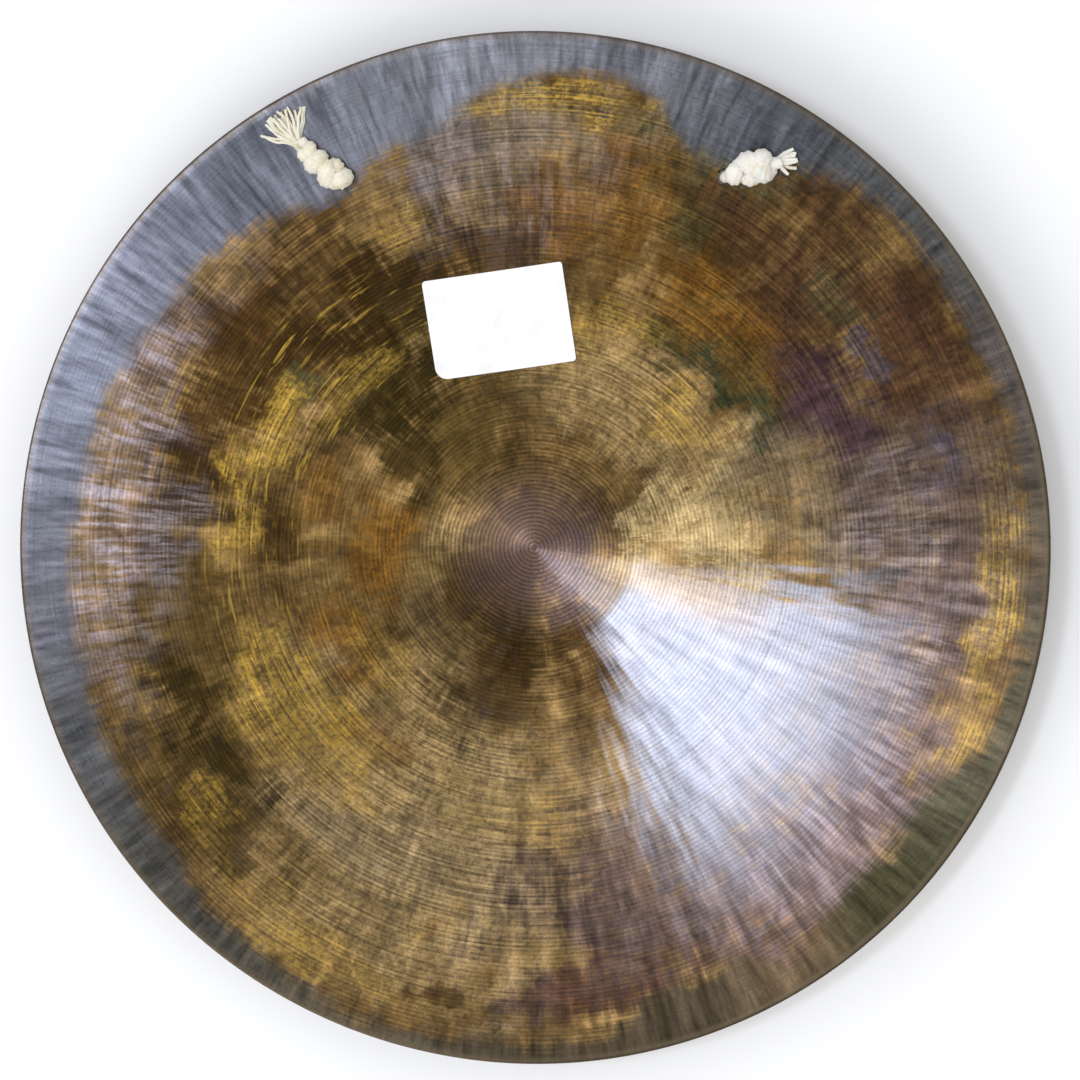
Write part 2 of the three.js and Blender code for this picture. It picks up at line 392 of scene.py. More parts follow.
class Patina:
    """The bronze's colour, laid on coat by coat.

    `radius` is the distance from the axis in mm, `angle` goes once round it from 0 to 1, and `hollow` is
    1 on the hollow side and 0 on the rounded one.
    """

    def __init__(self, finish, radius, angle, hollow):
        self.finish, self.radius, self.angle, self.hollow = finish, radius, angle, hollow
        around = finish.math("MULTIPLY", angle, TURN)
        self.cos, self.sin = finish.math("COSINE", around), finish.math("SINE", around)
        self.cloud = finish.noise(finish.place, scale=34, detail=5, roughness=0.62)
        self.fine_cloud = finish.noise(finish.place, scale=130, detail=4, roughness=0.65)
        self.hammered = self.polar_noise(20, 0.035, detail=3, roughness=0.6)
        self.turned = self.polar_noise(3.2, 1.1, detail=4, roughness=0.7)
        self.worn = self.polar_noise(7, 0.7, detail=3, roughness=0.6, distortion=0.3)
        self.strokes = self.polar_noise(58, 0.05, detail=3, roughness=0.65, distortion=0.25)
        self.grain = finish.noise(finish.place, scale=620, detail=4, roughness=0.75)
        self.warp = self.ragged()

    def polar_noise(self, across, along, **settings):
        """Noise with `across` cells to a radian round the axis and `along` cells to a mm outwards."""
        sizes = ((self.cos, across), (self.sin, across), (self.radius, along))
        parts = [self.finish.math("MULTIPLY", value, size) for value, size in sizes]
        return self.finish.noise(self.finish.vector(*parts), **settings)

    def ragged(self):
        """A mixed noise about 0 that makes the edges of patches ragged."""
        finish = self.finish
        warp = finish.math("MULTIPLY_ADD", self.cloud, 0.9, -0.45)
        for source, size in ((self.fine_cloud, 0.8), (self.strokes, 0.6), (self.turned, 0.8)):
            warp = finish.math("MULTIPLY_ADD", source, size, finish.math("SUBTRACT", warp, size / 2))
        return warp

    def colour(self):
        base = self.finish.ramp(self.cloud, [(place, colour(code)) for place, code in GROUND])
        coats = (self.tones, self.smudges, self.fan_with_painted_highlight, self.wear, self.glints, self.mauve_middle,
                 self.groove_rings, self.rim_band, self.browned_edge)
        for coat in coats:
            base = coat(base)
        return base

    def tones(self, base):
        """The patches of each tone, broken into streaks."""
        finish = self.finish
        streaks = finish.span(finish.math("MULTIPLY_ADD", self.grain, 0.7, self.turned), 0.72, 0.98)
        ridges = finish.span(self.strokes, 0.40, 0.62)
        lobed = self.lobed_places()
        for code, softness, streaked, patches in TONES:
            cover = 0.0
            for patch in patches:
                cover = finish.math("MAXIMUM", cover, self.patch(patch, softness, lobed))
            breaks = ridges if streaked < 0 else streaks
            kept = finish.span(breaks, 0, 1, 1 - abs(streaked), 1, smooth=False)
            base = finish.mix(finish.product(cover, kept), base, colour(code))
        return base

    def lobed_places(self):
        """Angle and radius with the lobes added: angles from 0 to 1, and again from -0.5 to 0.5."""
        finish = self.finish
        lobes = finish.add("ShaderNodeTexNoise", {"Vector": finish.place, "Scale": 60, "Detail": 5})
        lobes = finish.add("ShaderNodeSeparateColor", {0: lobes.outputs[1]}).outputs
        least_angle = finish.math("SUBTRACT", self.angle, LOBE_TURN / 2)
        least_radius = finish.math("SUBTRACT", self.radius, LOBE_REACH / 2)
        angle = finish.math("MULTIPLY_ADD", lobes[0], LOBE_TURN, least_angle)
        radius = finish.math("MULTIPLY_ADD", lobes[1], LOBE_REACH, least_radius)
        wrapped = finish.math("WRAP", angle, 0.5, -0.5)
        return finish.vector(angle, radius), finish.vector(wrapped, radius)

    def patch(self, patch, softness, lobed):
        """How strongly one patch shows. A patch that crosses angle 0 takes the wrapped angles."""
        finish = self.finish
        radius, angle, depth, width, strength = patch
        crosses = not 2 * width < angle < 360 - 2 * width
        middle = (angle - 360 * (crosses and angle > 180)) / 360
        near = finish.add("ShaderNodeTexGradient", {0: lobed[crosses]}, gradient_type="SPHERICAL")
        near.texture_mapping.vector_type = "TEXTURE"
        near.texture_mapping.translation = (middle, radius, 0)
        near.texture_mapping.scale = (2 * width / 360, 2 * depth, 1)
        near = finish.math("SUBTRACT", near.outputs[1], self.warp)
        return finish.span(near, 0.5 - softness / 4, 0.5 + softness / 4, 0.0, strength)

    def smudges(self, base):
        """Smudges, a little drawn out along the turning."""
        finish = self.finish
        smudge = finish.noise(finish.place, scale=62, detail=4, roughness=0.6, distortion=1.4)
        smudge = finish.math("MULTIPLY_ADD", self.turned, 0.25, smudge)
        return finish.shaded(base, finish.span(smudge, 0.47, 0.77, 0.70, 1.20))

    def fan_with_painted_highlight(self, base):
        """Partly a greyer tone of turned metal left bare, partly a painted highlight where the dish mirrors
        the light.
        """
        finish = self.finish
        angle = finish.math("MULTIPLY_ADD", self.hammered, 0.09, finish.math("SUBTRACT", self.angle, 0.045))
        narrowed = finish.math("ADD", angle, finish.span(self.radius, 95, 25, 0.0, -0.044))
        outwards = finish.math("MULTIPLY_ADD", self.warp, 26, self.radius)
        fan_cover = finish.product(finish.span(narrowed, *FAN_LOWER_EDGE), finish.span(angle, *FAN_UPPER_EDGE),
                               finish.span(outwards, *FAN_OUTER_EDGE, 0.0, 0.95))
        inner = finish.span(self.radius, *FAN_INNER_EDGE, 0.3, 1.0)
        fan_cover = finish.product(fan_cover, finish.product(self.hollow, inner))
        warm = finish.product(finish.span(self.angle, 0.92, 0.96), finish.span(self.radius, 100, 60))
        return finish.mix(fan_cover, base, finish.mix(warm, colour("#9a9ca3"), colour("#b3a08c")))

    def wear(self, base):
        """Streaks of wear: round the axis from turning, and outwards from hammering."""
        finish = self.finish
        shade = finish.product(finish.spread(self.turned, 0.36, 0.72),
                               finish.span(self.fine_cloud, 0.35, 0.65, 0.90, 1.08),
                               finish.spread(self.hammered, 0.86, 1.14),
                               finish.spread(self.grain, 0.66, 1.34))
        outwards = finish.product(finish.span(self.radius, 80, 138, 0.15, 1),
                                  finish.math("SUBTRACT", self.strokes, 0.5))
        shade = finish.product(shade, finish.math("MULTIPLY_ADD", outwards, 1.5, 1.0))
        return finish.shaded(base, shade)

    def glints(self, base):
        """Thin streaks of yellow metal, most of them in a ring at the left: partly rubbed metal, partly
        painted highlights on the turned crests.
        """
        finish = self.finish
        off_ring = finish.math("ABSOLUTE", finish.math("SUBTRACT", self.radius, 98))
        off_left = finish.math("ABSOLUTE", finish.math("SUBTRACT", self.angle, 0.45))
        often = finish.product(finish.span(off_ring, 30, 10), finish.span(off_left, 0.16, 0.10))
        glint = finish.product(finish.span(self.worn, 0.56, 0.70), finish.span(often, 0, 1, 0.12, 0.8))
        return finish.mix(glint, base, colour("#7d6527"))

    def mauve_middle(self, base):
        return self.finish.mix(self.finish.span(self.radius, 36, 8, 0.0, 0.6), base, colour("#54443f"))

    def groove_rings(self, base):
        """Darker and lighter rings at the pitch of the turned grooves, strongest in the middle and weakest
        at the upper right.
        """
        finish = self.finish
        wave = finish.math("COSINE", finish.math("MULTIPLY", self.radius, TURN / GROOVE_PITCH))
        depth = finish.product(finish.span(self.radius, 30, 42, 0.36, 0.20),
                               finish.span(self.worn, 0.25, 0.6, 0.3, 1))
        upper_right = finish.product(finish.span(self.angle, 0.24, 0.20),
                                     finish.span(self.angle, 0.01, 0.04),
                                     finish.span(self.radius, 70, 95))
        depth = finish.product(depth, finish.math("MULTIPLY_ADD", upper_right, -0.65, 1.0))
        return finish.shaded(base, finish.math("MULTIPLY_ADD", wave, depth, 1.0))

    def rim_band(self, base):
        """The band of dark oxide along the rim, paler at the upper left where its colour is partly a
        painted reflection of the light.
        """
        finish = self.finish
        edges = [(degrees / 360, [radius / RAMP_REACH] * 3 + [1]) for degrees, radius in BAND_EDGE]
        edge = finish.math("MULTIPLY", finish.ramp(self.angle, edges), RAMP_REACH)
        edge = finish.math("MULTIPLY_ADD", self.warp, 11, edge)
        colours = [(degrees / 360, colour(code)) for degrees, code in BAND_COLOURS]
        shade = finish.product(finish.span(self.hammered, 0.32, 0.68, 0.40, 0.68, smooth=False),
                               finish.spread(self.turned, 0.80, 1.16),
                               finish.spread(self.strokes, 0.5, 1.5),
                               finish.spread(self.grain, 0.84, 1.16))
        band = finish.shaded(finish.ramp(self.angle, colours), shade)
        inside = finish.math("SUBTRACT", self.radius, edge)
        return finish.mix(finish.span(inside, -4.5, 3.5), base, band)

    def browned_edge(self, base):
        """The last few millimetres before the edge turn a darker brown."""
        browned = self.finish.span(self.radius, 176.5, 179.6, 0.0, 0.55)
        return self.finish.mix(browned, base, colour("#5d5140"))


ROUNDED_SIDE_TURN = 0.38  # how far round its patina is from the hollow side's, as a part of a turn


def bronze_finish():
    """Hammered and turned bronze."""
    finish = Finish("bronze_patina")
    axes = finish.add("ShaderNodeSeparateXYZ", {0: finish.place}).outputs
    flat = finish.vector(axes[0], axes[1])
    radius = finish.add("ShaderNodeVectorMath", {0: flat}, operation="LENGTH").outputs[1]
    radius = finish.math("DIVIDE", radius, MM)
    angle = finish.math("DIVIDE", finish.math("ARCTAN2", axes[1], axes[0]), TURN)
    # The rounded side has its own patina, without the fan of greyer metal and painted highlight. Two whole
    # turns are added so that the angle stays above 0.
    angle = finish.math("ADD", angle, 2.0 - ROUNDED_SIDE_TURN)
    facing = finish.add("ShaderNodeSeparateXYZ", {0: finish.normal}).outputs[2]
    hollow = finish.span(facing, -0.1, 0.1)
    angle = finish.math("FRACT", finish.math("MULTIPLY_ADD", hollow, ROUNDED_SIDE_TURN, angle))
    patina = Patina(finish, radius, angle, hollow)
    rough = finish.product(finish.spread(patina.turned, 0.23, 0.32),
                           finish.spread(patina.grain, 0.85, 1.2))
    normal = finish.bump(patina.turned, 0.00006, 0.6)
    normal = finish.bump(patina.grain, 0.00005, 0.5, normal)
    tangent = finish.add("ShaderNodeTangent", direction_type="RADIAL", axis="Z").outputs[0]
    return finish.surface(Base_Color=patina.colour(), Metallic=1.0, Roughness=rough, Normal=normal,
                          Tangent=tangent, Anisotropic=0.78, Anisotropic_Rotation=0.25, Coat_Weight=0.03,
                          Coat_Roughness=0.3)


def cotton_finish(name, tint):
    """Undyed cotton yarn: fine fibres over a cream colour that varies from place to place."""
    finish = Finish(name)
    fibre = finish.noise(finish.place, scale=2600, detail=3, roughness=0.7, distortion=1.2)
    patch = finish.noise(finish.place, scale=240, detail=3, roughness=0.6)
    creams = [(0.32, colour("#e8dec2")), (0.52, colour(tint)), (0.72, colour("#faf6ea"))]
    shade = finish.span(fibre, 0.3, 0.72, 0.84, 1.06, smooth=False)
    base = finish.shaded(finish.ramp(patch, creams), shade)
    rough = finish.spread(patch, 0.82, 0.96)
    normal = finish.bump(fibre, 0.00022, 0.8)
    return finish.surface(Base_Color=base, Roughness=rough, Normal=normal, Sheen_Weight=0.25,
                          Subsurface_Weight=0.12, Subsurface_Scale=0.002)


def paper_finish():
    """White label paper, a little fibrous and handled."""
    finish = Finish("label_paper")
    fibre = finish.noise(finish.place, scale=1500, detail=4, roughness=0.7, distortion=0.6)
    stain = finish.noise(finish.place, scale=70, detail=3, roughness=0.6)
    whites = [(0.3, colour("#e9e7e6")), (0.5, colour("#f3f3f5")), (0.75, colour("#f8f8fb"))]
    base = finish.shaded(finish.ramp(stain, whites), finish.spread(fibre, 0.955, 1.0))
    rough = finish.spread(stain, 0.62, 0.8)
    return finish.surface(Base_Color=base, Roughness=rough, Normal=finish.bump(fibre, 0.00004, 0.6))


# ---- Camera --------------------------------------------------------------------------------------

VIEW_MIDDLE = (4.0, 3.7, 28.0)  # what the middle of the picture shows
VIEW_WIDTH = 376.0  # how much of that place the picture takes in
CAMERA_DISTANCE = 1000.0
CAMERA_LEAN = (75.0, 35.0)  # how far the camera stands off the vertical through that place
SENSOR = 36.0
CLIP_START = 0.01  # metres


def pose(across, up, back, place):
    """The matrix of a camera or light that looks against `back`."""
    columns = np.stack([across, up, back, place], 1)
    return Matrix(np.vstack([columns, [0, 0, 0, 1]]).tolist())


def place_camera():
    lens = bpy.data.cameras.new("camera")
    lens.sensor_width = SENSOR
    lens.lens = SENSOR * CAMERA_DISTANCE / VIEW_WIDTH
    lens.clip_start = CLIP_START
    camera = bpy.data.objects.new("camera", lens)
    bpy.context.scene.collection.objects.link(camera)
    x, y = CAMERA_LEAN
    height = math.sqrt(CAMERA_DISTANCE**2 - x**2 - y**2)
    back = np.array([x, y, height]) / CAMERA_DISTANCE
    right = np.cross([0.0, 1.0, 0.0], back)
    right /= np.linalg.norm(right)
    place = (np.array(VIEW_MIDDLE) + back * CAMERA_DISTANCE) * MM
    camera.matrix_world = pose(right, np.cross(back, right), back, place)
    bpy.context.scene.camera = camera


# ---- Hanging cord --------------------------------------------------------------------------------

CORD_RADIUS = 1.9
CORD_REACH = 3.0  # how far each end goes up into its knot
CORD_STRANDS = 7
CORD_GROOVE = 0.16  # how deep its strands part, as a share of its radius

# From the left hole's hinge to the right one's, resting on the table under the dish.
LOOP_ROUTE = [
    (-68.0, 129.5, 15.2), (-69.2, 126.0, 12.4), (-71.4, 121.4, 8.8), (-74.6, 116.0, 5.2),
    (-78.3, 109.6, 2.7), (-82.0, 102.0, 2.0), (-84.8, 92.6, 2.0), (-84.6, 82.4, 2.0),
    (-80.2, 73.0, 2.0), (-71.6, 65.8, 2.0), (-60.6, 61.0, 2.0), (-48.0, 58.4, 2.0),
    (-34.6, 58.2, 2.0), (-20.8, 60.6, 2.0), (-7.4, 63.4, 2.0), (6.6, 63.8, 2.0),
    (20.4, 61.4, 2.0), (34.0, 59.0, 2.0), (47.8, 59.2, 2.0), (60.8, 62.4, 2.0),
    (72.0, 68.0, 2.0), (80.2, 76.0, 2.0), (84.0, 86.0, 2.0), (83.6, 96.4, 2.0),
    (80.8, 105.6, 2.2), (77.4, 112.6, 3.8), (73.8, 118.8, 7.0), (70.6, 124.4, 11.2),
    (68.0, 129.5, 15.2),
]


def hanging_cord(cotton):
    """The loop with the short ends that go up through the holes, and the path that it follows."""
    top = float(hollow_side(HOLE_X, HOLE_Y))
    left = [(-66.8, 129.2, top + CORD_REACH), (-67.8, 129.5, top)]
    right = [(68.0, 129.5, top), (68.8, 130.0, top + CORD_REACH)]
    path = smooth_path(left + LOOP_ROUTE + right, spacing=0.7)
    tube = rope(path, CORD_RADIUS, sides=28, strands=CORD_STRANDS, groove=CORD_GROOVE, lay=24)
    cord = new_piece("hanging_cord_rope", [tube], cotton)
    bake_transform(cord)
    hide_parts("hanging_cord", "left_cord_end", "right_cord_end")
    return cord, path


# ---- Knots and frayed ends -----------------------------------------------------------------------


def on_plate(points, x, y, heading, height):
    """Lays points modelled along +X on the hollow side, so that their axis keeps its height above it."""
    points = np.asarray(points, float)
    turn = math.radians(heading)
    px = x + points[:, 0] * math.cos(turn) - points[:, 1] * math.sin(turn)
    py = y + points[:, 0] * math.sin(turn) + points[:, 1] * math.cos(turn)
    return np.stack([px, py, hollow_side(px, py) + height + points[:, 2]], -1)


WRAP_TURNS = 1.08  # how far round the core a wrap goes
WRAP_STEPS = 97
WRAP_SHIFT = 0.12  # how unevenly the wraps lie
FLATTENING = 0.9  # a knot's height as a share of its width


def wrap(middle, tilt, lean, outer, yarn, start):
    """One round of cord about the knot's core: a tilted coil whose outside is `outer` from the axis."""
    t = np.linspace(0, 1, WRAP_STEPS)
    angle = start + TURN * WRAP_TURNS * t
    mean = outer - yarn
    x = middle + tilt * np.cos(angle - lean) + (t - 0.5) * 0.9 * yarn
    return np.stack([x, mean * np.cos(angle), FLATTENING * mean * np.sin(angle)], -1)


def thinned_ends(count):
    """A share for each point of a wrap, which is thinner where its ends are tucked in."""
    t = np.linspace(0, 1, count)
    return 0.72 + 0.28 * (smoothstep(0, 0.12, t) * smoothstep(0, 0.12, t[::-1]))


def knot_parts(place, core, wraps, seed):
    """Ropes for a knot: a core along the axis and the rounds of cord drawn tight about it."""
    draw = np.random.default_rng(seed)
    laid = on_plate(smooth_path(core, spacing=0.5), *place)
    parts = [rope(laid, CORD_RADIUS, sides=24, strands=CORD_STRANDS, groove=CORD_GROOVE, lay=22)]
    for middle, tilt, lean, outer, yarn, start in wraps:
        coil = wrap(middle, tilt, lean, outer, yarn, start)
        coil += WRAP_SHIFT * draw.normal(size=3)
        size = yarn * thinned_ends(len(coil))
        parts.append(rope(on_plate(coil, *place), size, sides=32, strands=9, groove=0.13, lay=30,
                          phase=draw.uniform(0, 3)))
    return parts


# A place is (x, y, heading in degrees, height over the plate). A wrap is (its middle along the knot, tilt,
# where it leans, its outside's radius, its yarn's radius, where it starts).
def left_knot(cotton):
    core = [(-2.5, 0, 0), (3, 0.6, 0), (9, 0.8, 0.2), (15, -0.8, -0.4), (19.5, -1.6, -1.4)]
    wraps = [
        (0.6, 0.8, 0.6, 5.2, 3.4, 0.4), (4.6, 1.0, 3.4, 5.8, 3.6, 2.0),
        (10.4, 0.9, 0.3, 4.9, 3.0, 4.0), (15.0, 0.7, 3.0, 4.1, 2.5, 1.0),
    ]
    parts = knot_parts((-66.0, 128.7, 138, 4.7), core, wraps, seed=3)
    return new_piece("left_stopper_knot", parts, cotton)


def right_knot(cotton):
    core = [(-2.0, 0, 0), (3, 0, 0), (8, 0, 0), (13, 0.2, -0.4), (16, 0.4, -1.0)]
    wraps = [
        (0.6, 0.8, 0.2, 4.9, 3.2, 0.6), (5.0, 1.2, 2.6, 6.3, 4.0, 2.2), (9.4, 1.2, 5.6, 6.1, 3.6, 4.6),
    ]
    parts = knot_parts((71.6, 131.2, 8, 4.9), core, wraps, seed=5)
    return new_piece("right_stopper_knot", parts, cotton)


ROOT_SPREAD = 1.2  # how far a yarn's root is from the cord's axis, at most
ROOT_DEPTH = 2.5  # how far inside the knot it is
YARN_CLEARANCE = 0.15  # least gap between a yarn and the plate


def yarn_spine(length, away, curl, lift, root, number):
    """Points along one loose yarn, from inside the knot to its tip."""
    spine = []
    for t in np.linspace(0, 1, 7):
        bend = away * min(1, 0.35 + t) + curl * t + 0.05 * math.sin(5 * t + number)
        side = root[0] * (1 - t) + length * t * math.sin(bend)
        along = -ROOT_DEPTH + (length + ROOT_DEPTH) * t * math.cos(bend)
        up = root[1] * (1 - t) * 0.8 + lift * math.sin(2.2 * t) - 0.9 * t
        spine.append((along, side, up))
    return spine


def frayed_end(name, cotton, place, yarns, reach, spread, thickness, seed):
    """Loose yarns that fan out from a cord's end, `spread` degrees to each side, and lie on the plate."""
    draw = np.random.default_rng(seed)
    parts = []
    for i in range(yarns):
        share = (i + 0.5) / yarns * 2 - 1
        away = math.radians(spread) * share + draw.normal(0, 0.06)
        length = reach * draw.uniform(0.8, 1.04)
        curl = draw.normal(0, 0.10)
        lift = draw.uniform(-0.9, 1.6)
        root = draw.uniform(-1, 1, 2) * ROOT_SPREAD
        spine = yarn_spine(length, away, curl, lift, root, i)
        laid = on_plate(smooth_path(spine, spacing=0.6), *place)
        least = hollow_side(laid[:, 0], laid[:, 1]) + thickness + YARN_CLEARANCE
        laid[:, 2] = np.maximum(laid[:, 2], least)
        taper = thickness * (1 - 0.25 * np.linspace(0, 1, len(laid))**2)
        parts.append(rope(laid, taper, sides=10, strands=3, groove=0.22, lay=3.5, phase=i))
    return new_piece(name, parts, cotton)


# ---- Paper label ---------------------------------------------------------------------------------

LABEL_SIZE = (50.0, 35.0)
LABEL_MIDDLE = (-11.7, 80.4)
LABEL_TURN = 8.0
LABEL_CORNERS = {(-1, -1): 4.2, (1, -1): 1.2, (1, 1): 1.0, (-1, 1): 1.4}  # each corner's radius
PAPER_THICKNESS = 0.14
PAPER_GAP = 0.22  # least height over the plate, before it cockles
PAPER_CURL = 0.35  # how far its edges stand up


def rounded(u, v):
    """Draws the label's grid in at its corners. u and v are mm from the middle."""
    half_u, half_v = LABEL_SIZE[0] / 2, LABEL_SIZE[1] / 2
    u, v = u.copy(), v.copy()
    for (sign_u, sign_v), radius in LABEL_CORNERS.items():
        a = (sign_u * u - half_u + radius) / radius
        b = (sign_v * v - half_v + radius) / radius
        inside = (a > 0) & (b > 0)
        shrink = np.maximum(a, b) / np.maximum(np.hypot(a, b), 1e-9)
        u[inside] = sign_u * (half_u - radius + radius * (a * shrink)[inside])
        v[inside] = sign_v * (half_v - radius + radius * (b * shrink)[inside])
    return u, v


def paper_label():
    """A thin sheet stuck to the hollow side, with three crisp corners and one worn round."""
    columns, rows = 101, 71
    u, v = np.meshgrid(np.linspace(-0.5, 0.5, columns) * LABEL_SIZE[0],
                       np.linspace(-0.5, 0.5, rows) * LABEL_SIZE[1], indexing="ij")
    u, v = rounded(u, v)
    turn = math.radians(LABEL_TURN)
    x = LABEL_MIDDLE[0] + u * math.cos(turn) - v * math.sin(turn)
    y = LABEL_MIDDLE[1] + u * math.sin(turn) + v * math.cos(turn)
    cockle = 0.10 * cell_noise(u / 9 + 4, v / 9 + 4, 16, 11)
    cockle += 0.03 * cell_noise(u / 2.5 + 12, v / 2.5 + 9, 32, 12)
    edge = np.minimum(LABEL_SIZE[0] / 2 - np.abs(u), LABEL_SIZE[1] / 2 - np.abs(v))
    lift = PAPER_GAP + PAPER_CURL * smoothstep(6, 0, edge) * (0.4 + 0.6 * smoothstep(18, 25, np.abs(u)))
    low = hollow_side(x, y) + lift + cockle
    under = np.stack([x, y, low], -1).reshape(-1, 3)
    over = np.stack([x, y, low + PAPER_THICKNESS], -1).reshape(-1, 3)
    index = np.arange(columns * rows).reshape(columns, rows)
    a, b, c, d = index[:-1, :-1], index[1:, :-1], index[1:, 1:], index[:-1, 1:]
    top = np.stack([a, b, c, d], -1).reshape(-1, 4) + columns * rows
    bottom = np.stack([a, d, c, b], -1).reshape(-1, 4)
    border = np.concatenate([index[:-1, 0], index[-1, :-1], index[:0:-1, -1], index[0, :0:-1]])
    after = np.roll(border, -1)
    sides = np.stack([border, after, after + columns * rows, border + columns * rows], -1)
    sheet = (np.vstack([under, over]), [top, bottom, sides])
    return new_piece("paper_label_sheet", [sheet], paper_finish(), sharp=CREASE_ANGLE)


# ---- Gong plate ----------------------------------------------------------------------------------

GROOVE_DEPTH = 0.012
RINGS_PER_GROOVE = 4
UNDERSIDE_STEP = 1.5  # from ring to ring underneath
TURNED_STEPS = (35.0, 90.5)  # where the turning tool was moved
STEP_HEIGHT = 0.05
HAMMER_SEED = 41
SIDES = ((3.0, 48), (9.0, 96), (26.0, 192), (72.0, 384), (RIM_RADIUS + 1, 768))


def sides_at(radius):
    """How many sides the mesh has at a radius: twice as many in each wider part."""
    return next(count for limit, count in SIDES if radius < limit)


def hammer_marks(radius, angle):
    """Broad dents from the hammer, up to about 0.15 mm deep."""
    turns = angle / TURN
    broad = cell_noise(turns * 22, radius / 30 + 1, 22, HAMMER_SEED)
    small = cell_noise(turns * 46, radius / 15 + 1, 46, HAMMER_SEED + 1)
    return smoothstep(8, 60, radius) * (0.13 * broad + 0.055 * small)


def ripples(radius, angle):
    """Short ridges that run outwards, raised where the hammer drew the metal toward the rim."""
    turns = angle / TURN
    coarse = cell_noise(turns * 150, radius / 24 + 1, 150, 21)
    fine = cell_noise(turns * 260, radius / 14 + 1, 260, 22)
    swell = 0.45 + 0.55 * (0.5 + 0.5 * cell_noise(turns * 9, radius / 35 + 1, 9, 23))
    inner = smoothstep(45, 95, radius) * (0.35 + 0.65 * smoothstep(96, 140, radius))
    return inner * swell * (0.085 * coarse + 0.045 * fine)


def turned_grooves(radius, angle):
    """The rings left by the turning tool, deepest near the middle, and the steps where it was reset."""
    turns = angle / TURN
    wave = 0.5 + 0.5 * np.cos(TURN * radius / GROOVE_PITCH)
    depth = GROOVE_DEPTH * (1 + 1.1 * smoothstep(38, 30, radius))
    depth = depth * (0.7 + 0.3 * cell_noise(turns * 30, radius / 5 + 1, 30, 32))
    steps = sum(STEP_HEIGHT * smoothstep(r - 0.4, r + 0.4, radius) for r in TURNED_STEPS)
    return depth * wave + steps - STEP_HEIGHT * len(TURNED_STEPS)


def plate_rings():
    """The plate's section, out over the hollow side and back underneath: pairs of a radius and a side.

    Round the edge, an angle from the hollow side's normal stands for the side.
    """
    step = GROOVE_PITCH / RINGS_PER_GROOVE
    half = THICKNESS / 2
    inner = RIM_RADIUS - half
    out = [(r, "hollow") for r in np.arange(step, inner, step)]
    edge = [(RIM_RADIUS - half * (1 - math.sin(math.radians(a))), a) for a in range(10, 171, 20)]
    back = [(r, "rounded") for r in np.arange(inner, UNDERSIDE_STEP / 2, -UNDERSIDE_STEP)]
    return out + edge + back


def ring_points(radius, side, count):
    angle = np.arange(count) * TURN / count
    r = np.full(count, radius)
    marks, ridges = hammer_marks(r, angle), ripples(r, angle)
    if side == "hollow":
        z = underside(r) + THICKNESS + marks + ridges
        z += turned_grooves(r, angle)
    elif side == "rounded":
        z = underside(r) + 0.8 * marks * smoothstep(FLAT_RADIUS, 60, r)
        z = np.maximum(z, underside(r) - 0.12) + 0.5 * ridges
    else:
        z = underside(r) + THICKNESS / 2 + THICKNESS / 2 * math.cos(math.radians(side))
        z = z + 0.8 * marks + 0.6 * ridges
    return np.stack([r * np.cos(angle), r * np.sin(angle), z], -1)


def stitch(first, count, second, next_count):
    """Faces between two neighbouring rings, whose side counts may differ by a factor of two."""
    j = np.arange(min(count, next_count))
    if count == next_count:
        after = (j + 1) % count
        return [np.stack([first + j, second + j, second + after, first + after], -1)]
    if next_count > count:
        a, b = first + j, first + (j + 1) % count
        c, d, e = (second + (2 * j + k) % next_count for k in range(3))
        return [np.stack(t, -1) for t in ((a, c, d), (a, d, b), (b, d, e))]
    a, b, c = (first + (2 * j + k) % count for k in range(3))
    d, e = second + j, second + (j + 1) % next_count
    return [np.stack(t, -1) for t in ((a, d, b), (b, d, e), (b, e, c))]


def plate_part():
    """The plate's points and faces, ring by ring from the middle of one side to that of the other."""
    points, faces = [np.array([[0.0, 0.0, THICKNESS + GROOVE_DEPTH]])], []
    offset, before = 1, None
    for radius, side in plate_rings():
        count = sides_at(radius)
        points.append(ring_points(radius, side, count))
        if before is None:
            j = np.arange(count)
            faces.append(np.stack([np.zeros(count, int), offset + j, offset + (j + 1) % count], -1))
        else:
            faces += stitch(before[0], before[1], offset, count)
        before = (offset, count)
        offset += count
    points.append(np.array([[0.0, 0.0, 0.0]]))
    first, count = before
    j = np.arange(count)
    faces.append(np.stack([np.full(count, offset), first + (j + 1) % count, first + j], -1))
    return np.vstack(points), faces


CUTTER_REACH = 8.0  # how far the cutter goes to each side of the plate's middle
CUTTER_SIDES = 64


def drill(x, y):
    """A cutter for a cord hole, a little wider at both faces where the burr was taken off."""
    middle = float(underside(math.hypot(x, y))) + THICKNESS / 2
    wide = HOLE_RADIUS + 0.35
    profile = [(-CUTTER_REACH, 4.2), (-1.05, wide), (-0.6, HOLE_RADIUS), (0.6, HOLE_RADIUS), (1.05, wide),
               (CUTTER_REACH, 4.2)]
    sides = CUTTER_SIDES
    around = np.arange(sides)
    after = (around + 1) % sides
    angle = around * TURN / sides
    rings = [np.stack([x + r * np.cos(angle), y + r * np.sin(angle), np.full(sides, middle + z)], -1)
             for z, r in profile]
    tips = [[[x, y, middle - CUTTER_REACH]], [[x, y, middle + CUTTER_REACH]]]
    points = np.vstack(rings + tips)
    last = (len(profile) - 1) * sides
    faces = [np.stack([k + around, k + after, k + sides + after, k + sides + around], -1)
             for k in range(0, last, sides)]
    low, high = len(points) - 2, len(points) - 1
    faces.append(np.stack([np.full(sides, low), after, around], -1))
    faces.append(np.stack([np.full(sides, high), last + around, last + after], -1))
    return points, faces


